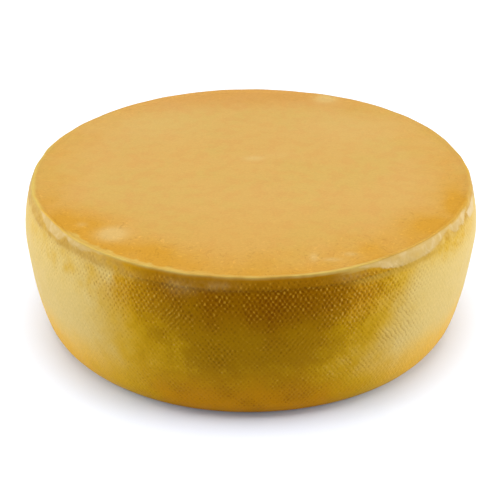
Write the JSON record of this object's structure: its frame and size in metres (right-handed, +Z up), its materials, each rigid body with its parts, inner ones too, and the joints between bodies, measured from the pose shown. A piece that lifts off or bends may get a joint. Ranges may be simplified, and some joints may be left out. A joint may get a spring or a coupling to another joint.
{
  "type": "whole washed-rind cheese wheel",
  "caption": "Whole round cheese wheel: bulging side printed with fine dots, flat top face inside a thin trimmed lip, smooth band under it, rounded foot and flat base; golden-brown washed rind.",
  "frame": {"origin": "middle of the wheel's plan, on the flat base that it rests on", "axes": "+Z up through the middle of the wheel, -Y towards its front as pictured, +X to the right"},
  "size_m": [0.2898, 0.2904, 0.1005],
  "materials": {
    "rind": "smooth, slightly greasy washed rind, tan-orange on top and golden to brown on the side"
  },
  "bodies": {
    "root": {"cheese_wheel": "rind"}
  },
  "joints": []
}
